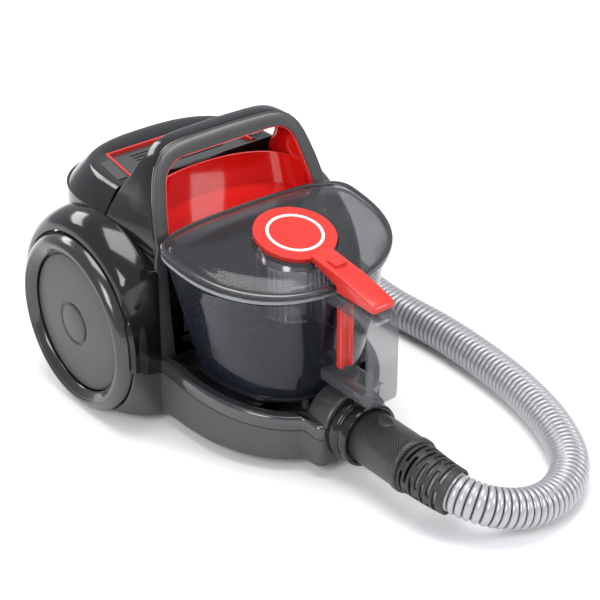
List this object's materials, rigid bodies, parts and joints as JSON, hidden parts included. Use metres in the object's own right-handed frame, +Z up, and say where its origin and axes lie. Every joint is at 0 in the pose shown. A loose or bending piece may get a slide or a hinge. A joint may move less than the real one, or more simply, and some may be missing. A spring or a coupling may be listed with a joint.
{
  "type": "canister vacuum cleaner",
  "caption": "Cylinder vacuum cleaner with large rear wheels, a lift-out clear cyclone bin under a carrying handle, and a ribbed hose with a bent hand grip.",
  "frame": {"origin": "on the floor under the middle of the machine without its hose", "axes": "+X right seen from the hose end, -Y towards the hose port, +Z up"},
  "size_m": [0.4638, 0.8014, 0.296],
  "materials": {
    "base_grey": "moulded, fine matt grain",
    "shell_black": "high gloss",
    "trim_grey": "satin",
    "cover_grey": "satin",
    "accent_red": "satin gloss",
    "ring_white": "printed ring",
    "bin_smoke": "clear smoke-tinted moulding",
    "tyre_black": "smooth, semi gloss",
    "disc_grey": "satin",
    "steel": "bright",
    "inner_grey": "moulded",
    "rubber_black": "matt",
    "filter_foam": "open foam and pleats",
    "motor_metal": "laminated",
    "fan_alloy": "pressed",
    "board_green": "circuit board",
    "hose_grey": "ribbed, pearl grey",
    "connector_black": "fine checker grain"
  },
  "bodies": {
    "housing": {"base_chassis": "base_grey", "upper_housing": "shell_black", "bin_surround": "trim_grey", "bin_cradle": "shell_black", "handle_trim": "trim_grey", "handle_arch": "shell_black", "handle_liner": "accent_red", "rear_cover": "cover_grey", "red_trim": "accent_red", "exhaust_filter": "filter_foam", "fender_left": "shell_black", "fender_right": "shell_black", "rear_axles": "steel", "inlet_collar": "shell_black", "inlet_duct": "inner_grey", "motor_housing": "inner_grey", "motor_stator": "motor_metal", "motor_bearings": "steel", "motor_mounts": "rubber_black", "motor_filter": "filter_foam", "filter_grille": "inner_grey", "reel_stand": "inner_grey", "reel_spring_case": "steel", "cord_outlet": "rubber_black", "switch_board": "board_green", "housing_screws": "steel", "hose_connector": "connector_black", "hose_sleeve": "rubber_black", "hose": "hose_grey", "hose_grip": "connector_black"},
    "wheel_left": {"tyre_left": "tyre_black", "wheel_disc_left": "disc_grey", "hub_cap_left": "disc_grey"},
    "wheel_right": {"tyre_right": "tyre_black", "wheel_disc_right": "disc_grey", "hub_cap_right": "disc_grey"},
    "caster": {"caster_fork": "inner_grey", "caster_axle": "steel"},
    "caster_roller": {"caster_wheel": "tyre_black"},
    "bin": {"bin_body": "bin_smoke", "bin_grip": "bin_smoke", "flap_pin": "steel"},
    "bin_door": {"bin_flap": "bin_smoke", "flap_seal": "rubber_black"},
    "flap_rod": {"push_rod": "accent_red"},
    "lid": {"bin_lid": "bin_smoke", "lid_disc": "accent_red", "lid_ring": "ring_white", "lid_arm": "accent_red", "cyclone_shroud": "inner_grey", "cyclone_cone": "inner_grey"},
    "lid_slider": {"release_slider": "accent_red"},
    "exhaust_door": {"exhaust_cover": "cover_grey"},
    "power_key": {"power_pedal": "cover_grey"},
    "rewind_key": {"rewind_pedal": "cover_grey"},
    "fan": {"motor_rotor": "motor_metal", "impeller": "fan_alloy"},
    "reel": {"reel_drum": "inner_grey"},
    "hose_key": {"connector_button": "connector_black"},
    "air_slider": {"suction_slider": "inner_grey"}
  },
  "joints": [
    {"name": "wheel_left_spin", "type": "hinge", "parent": "housing", "child": "wheel_left", "pos_m": [-0.139, 0.0985, 0.095], "axis": [1, 0, 0], "continuous": true},
    {"name": "wheel_right_spin", "type": "hinge", "parent": "housing", "child": "wheel_right", "pos_m": [0.139, 0.0985, 0.095], "axis": [1, 0, 0], "continuous": true},
    {"name": "caster_swivel", "type": "hinge", "parent": "housing", "child": "caster", "pos_m": [0, -0.0915, 0.031], "axis": [0, 0, 1], "continuous": true},
    {"name": "caster_roll", "type": "hinge", "parent": "caster", "child": "caster_roller", "pos_m": [0, -0.0815, 0.013], "axis": [1, 0, 0], "continuous": true},
    {"name": "bin_lift", "type": "slide", "parent": "housing", "child": "bin", "axis": [0, 0, 1], "range_m": [0, 0.12]},
    {"name": "bin_flap_swing", "type": "hinge", "parent": "bin", "child": "bin_door", "pos_m": [0, 0.0035, 0.0742], "axis": [1, 0, 0], "range_deg": [-0.5, 46]},
    {"name": "flap_rod_press", "type": "slide", "parent": "bin", "child": "flap_rod", "axis": [0, 0, -1], "range_m": [0, 0.004], "stiffness_N_per_m": 400, "springref_m": -0.001},
    {"name": "lid_lift", "type": "slide", "parent": "bin", "child": "lid", "axis": [0, 0, 1], "range_m": [0, 0.09]},
    {"name": "release_slide", "type": "slide", "parent": "lid", "child": "lid_slider", "axis": [0, -1, 0], "range_m": [0, 0.006], "stiffness_N_per_m": 300, "springref_m": -0.001},
    {"name": "exhaust_cover_swing", "type": "hinge", "parent": "housing", "child": "exhaust_door", "pos_m": [0, 0.15245, 0.23425], "axis": [-1, 0, 0], "range_deg": [0, 70]},
    {"name": "power_press", "type": "slide", "parent": "housing", "child": "power_key", "axis": [0, 0, -1], "range_m": [0, 0.003], "stiffness_N_per_m": 800, "springref_m": -0.001},
    {"name": "rewind_press", "type": "slide", "parent": "housing", "child": "rewind_key", "axis": [0, 0, -1], "range_m": [0, 0.003], "stiffness_N_per_m": 800, "springref_m": -0.001},
    {"name": "fan_spin", "type": "hinge", "parent": "housing", "child": "fan", "pos_m": [0, 0.1225, 0.08], "axis": [0, 1, 0], "continuous": true},
    {"name": "reel_spin", "type": "hinge", "parent": "housing", "child": "reel", "pos_m": [0, 0.1285, 0.18], "axis": [0, 0, 1], "continuous": true},
    {"name": "hose_key_press", "type": "slide", "parent": "housing", "child": "hose_key", "axis": [0, 0, -1], "range_m": [0, 0.0025], "stiffness_N_per_m": 500, "springref_m": -0.001},
    {"name": "air_slide", "type": "slide", "parent": "housing", "child": "air_slider", "axis": [-0.9973, -0.0737, 0], "range_m": [-0.007, 0.007]}
  ],
  "couplings": [
    {"joint": "bin_flap_swing", "follows": "bin_lift", "rad_per_m": 6.5}
  ]
}
